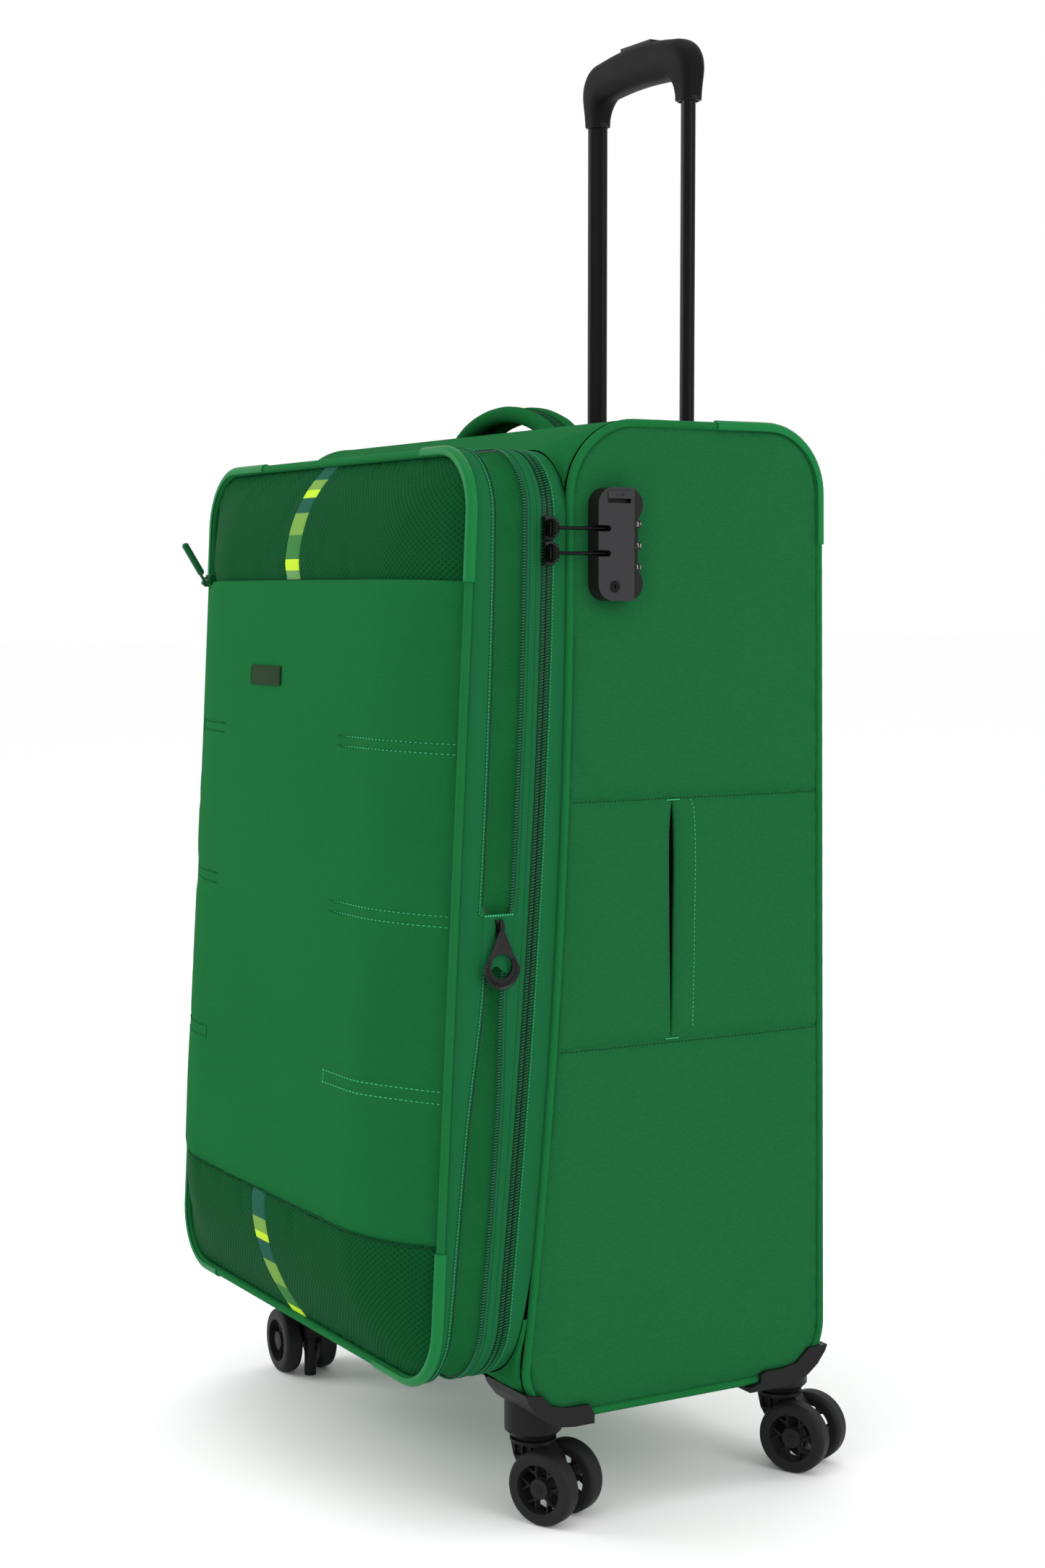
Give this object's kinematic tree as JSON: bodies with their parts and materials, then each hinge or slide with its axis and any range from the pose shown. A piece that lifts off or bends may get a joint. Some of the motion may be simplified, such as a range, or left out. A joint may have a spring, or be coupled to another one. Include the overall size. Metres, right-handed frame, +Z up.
{
  "type": "suitcase",
  "caption": "Soft-sided spinner suitcase with expandable zip-round lid, carry handle, telescopic trolley handle, combination lock and twin-wheel casters.",
  "frame": {"origin": "on the floor, under the centre of the footprint at rest (handle pulled out, expansion open)", "axes": "+Z up, -Y towards the front (lid), +X towards the side with the lock"},
  "size_m": [0.4828, 0.3935, 1.1058],
  "materials": {
    "fabric_green": "woven polyester, matt",
    "fabric_dark": "ribbed polyester, matt",
    "zip_green": "woven tape with nylon coil",
    "gloss_green": "smooth, glossy",
    "lining": "plain lining cloth on board",
    "black_plastic": "fine moulded grain",
    "lock_grey": "satin",
    "steel": "plated",
    "tube_black": "anodised black, satin",
    "tube_alu": "mill finish",
    "wheel_rubber": "matt polyurethane",
    "trim_lime": "woven ribbon"
  },
  "bodies": {
    "shell": {"side_panel_right": "fabric_green", "side_panel_left": "fabric_green", "top_panel": "fabric_green", "back_panel": "fabric_green", "bottom_panel": "fabric_green", "side_piping": "gloss_green", "rear_corner_guards": "gloss_green", "shell_liner": "lining", "main_zip_shell_half": "zip_green", "outer_tubes": "tube_alu", "tube_cup": "black_plastic", "tube_foot": "black_plastic", "carry_handle": "fabric_green", "packing_straps": "fabric_dark", "caster_housings": "black_plastic", "lock_body": "black_plastic", "main_zip_sliders": "black_plastic", "hinge_strip": "fabric_green"},
    "trolley": {"inner_tubes": "tube_black", "trolley_grip": "black_plastic", "button_spring": "steel"},
    "grip_button": {"grip_button": "black_plastic"},
    "release_rods": {"release_rods": "steel"},
    "lock_dial_top": {"lock_dial_top": "lock_grey"},
    "lock_dial_middle": {"lock_dial_middle": "lock_grey"},
    "lock_dial_bottom": {"lock_dial_bottom": "lock_grey"},
    "lock_key_plug": {"lock_key_plug": "steel"},
    "lock_button": {"lock_button": "lock_grey"},
    "zip_pull_upper": {"zip_pull_upper": "steel"},
    "zip_pull_lower": {"zip_pull_lower": "steel"},
    "lid_rear": {"rear_band": "fabric_green", "rear_expansion_zip": "zip_green", "expansion_gusset": "fabric_green"},
    "lid": {"front_expansion_zip": "zip_green", "front_band": "fabric_green", "lid_front_panel": "fabric_green", "lid_end_panels": "fabric_dark", "lid_piping": "gloss_green", "lid_corner_guards": "gloss_green", "lid_liner": "lining", "front_trim": "trim_lime", "pocket_zip": "fabric_dark"},
    "expansion_puller": {"expansion_puller": "black_plastic"},
    "pocket_puller": {"pocket_puller": "fabric_dark"},
    "swivel_front_right": {"fork_front_right": "black_plastic", "axle_front_right": "steel"},
    "wheel_front_right_outer": {"wheel_front_right_outer": "wheel_rubber"},
    "wheel_front_right_inner": {"wheel_front_right_inner": "wheel_rubber"},
    "swivel_front_left": {"fork_front_left": "black_plastic", "axle_front_left": "steel"},
    "wheel_front_left_outer": {"wheel_front_left_outer": "wheel_rubber"},
    "wheel_front_left_inner": {"wheel_front_left_inner": "wheel_rubber"},
    "swivel_rear_right": {"fork_rear_right": "black_plastic", "axle_rear_right": "steel"},
    "wheel_rear_right_outer": {"wheel_rear_right_outer": "wheel_rubber"},
    "wheel_rear_right_inner": {"wheel_rear_right_inner": "wheel_rubber"},
    "swivel_rear_left": {"fork_rear_left": "black_plastic", "axle_rear_left": "steel"},
    "wheel_rear_left_outer": {"wheel_rear_left_outer": "wheel_rubber"},
    "wheel_rear_left_inner": {"wheel_rear_left_inner": "wheel_rubber"}
  },
  "joints": [
    {"name": "trolley_slide", "type": "slide", "parent": "shell", "child": "trolley", "axis": [0, 0, 1], "range_m": [-0.3, 0]},
    {"name": "grip_button_press", "type": "slide", "parent": "trolley", "child": "grip_button", "axis": [0, 0, 1], "range_m": [-0.004, 0], "stiffness_N_per_m": 500, "springref_m": 0.003, "deforming": ["button_spring"]},
    {"name": "release_rod_slide", "type": "slide", "parent": "trolley", "child": "release_rods", "axis": [0, 0, 1], "range_m": [-0.004, 0]},
    {"name": "lid_open", "type": "hinge", "parent": "shell", "child": "lid_rear", "pos_m": [-0.2285, -0.09216, 0.435], "axis": [0, -0.0632, -0.998], "range_deg": [0, 125], "deforming": ["hinge_strip"]},
    {"name": "lid_expansion", "type": "slide", "parent": "lid_rear", "child": "lid", "axis": [0, 1, 0], "range_m": [0, 0.019], "deforming": ["expansion_gusset"]},
    {"name": "expansion_puller_swing", "type": "hinge", "parent": "lid_rear", "child": "expansion_puller", "pos_m": [0.23, -0.1146, 0.434], "axis": [0, -1, 0], "range_deg": [0, 150]},
    {"name": "pocket_puller_swing", "type": "hinge", "parent": "lid", "child": "pocket_puller", "pos_m": [-0.188, -0.15675, 0.6758], "axis": [-1, 0, 0], "range_deg": [-147, 3]},
    {"name": "zip_pull_upper_swing", "type": "hinge", "parent": "shell", "child": "zip_pull_upper", "pos_m": [0.237, -0.07537, 0.7124], "axis": [0, 0, -1], "range_deg": [0, 100]},
    {"name": "zip_pull_lower_swing", "type": "hinge", "parent": "shell", "child": "zip_pull_lower", "pos_m": [0.237, -0.07537, 0.695], "axis": [0, 0, -1], "range_deg": [0, 100]},
    {"name": "lock_dial_top_turn", "type": "hinge", "parent": "shell", "child": "lock_dial_top", "pos_m": [0.2364, -0.0112, 0.7156], "axis": [0, 0, 1], "continuous": true},
    {"name": "lock_dial_middle_turn", "type": "hinge", "parent": "shell", "child": "lock_dial_middle", "pos_m": [0.2364, -0.0112, 0.7006], "axis": [0, 0, 1], "continuous": true},
    {"name": "lock_dial_bottom_turn", "type": "hinge", "parent": "shell", "child": "lock_dial_bottom", "pos_m": [0.2364, -0.0112, 0.6856], "axis": [0, 0, 1], "continuous": true},
    {"name": "lock_key_turn", "type": "hinge", "parent": "shell", "child": "lock_key_plug", "pos_m": [0.238, -0.03, 0.672], "axis": [1, 0, 0], "range_deg": [0, 90]},
    {"name": "lock_button_slide", "type": "slide", "parent": "shell", "child": "lock_button", "axis": [0, 0, 1], "range_m": [-0.003, 0], "stiffness_N_per_m": 300, "springref_m": 0.003},
    {"name": "swivel_front_right", "type": "hinge", "parent": "shell", "child": "swivel_front_right", "pos_m": [0.189, -0.065, 0.066], "axis": [0, 0, 1], "continuous": true},
    {"name": "roll_front_right_outer", "type": "hinge", "parent": "swivel_front_right", "child": "wheel_front_right_outer", "pos_m": [0.20713, -0.05655, 0.027], "axis": [-0.4226, 0.9063, 0], "continuous": true},
    {"name": "roll_front_right_inner", "type": "hinge", "parent": "swivel_front_right", "child": "wheel_front_right_inner", "pos_m": [0.20713, -0.05655, 0.027], "axis": [-0.4226, 0.9063, 0], "continuous": true},
    {"name": "swivel_front_left", "type": "hinge", "parent": "shell", "child": "swivel_front_left", "pos_m": [-0.189, -0.065, 0.066], "axis": [0, 0, 1], "continuous": true},
    {"name": "roll_front_left_outer", "type": "hinge", "parent": "swivel_front_left", "child": "wheel_front_left_outer", "pos_m": [-0.20895, -0.0636, 0.027], "axis": [-0.0698, -0.9976, 0], "continuous": true},
    {"name": "roll_front_left_inner", "type": "hinge", "parent": "swivel_front_left", "child": "wheel_front_left_inner", "pos_m": [-0.20895, -0.0636, 0.027], "axis": [-0.0698, -0.9976, 0], "continuous": true},
    {"name": "swivel_rear_right", "type": "hinge", "parent": "shell", "child": "swivel_rear_right", "pos_m": [0.189, 0.155, 0.066], "axis": [0, 0, 1], "continuous": true},
    {"name": "roll_rear_right_outer", "type": "hinge", "parent": "swivel_rear_right", "child": "wheel_rear_right_outer", "pos_m": [0.20649, 0.1647, 0.027], "axis": [-0.4848, 0.8746, 0], "continuous": true},
    {"name": "roll_rear_right_inner", "type": "hinge", "parent": "swivel_rear_right", "child": "wheel_rear_right_inner", "pos_m": [0.20649, 0.1647, 0.027], "axis": [-0.4848, 0.8746, 0], "continuous": true},
    {"name": "swivel_rear_left", "type": "hinge", "parent": "shell", "child": "swivel_rear_left", "pos_m": [-0.189, 0.155, 0.066], "axis": [0, 0, 1], "continuous": true},
    {"name": "roll_rear_left_outer", "type": "hinge", "parent": "swivel_rear_left", "child": "wheel_rear_left_outer", "pos_m": [-0.20779, 0.16184, 0.027], "axis": [-0.342, -0.9397, 0], "continuous": true},
    {"name": "roll_rear_left_inner", "type": "hinge", "parent": "swivel_rear_left", "child": "wheel_rear_left_inner", "pos_m": [-0.20779, 0.16184, 0.027], "axis": [-0.342, -0.9397, 0], "continuous": true}
  ],
  "couplings": [
    {"joint": "release_rod_slide", "follows": "grip_button_press", "ratio": 1}
  ]
}
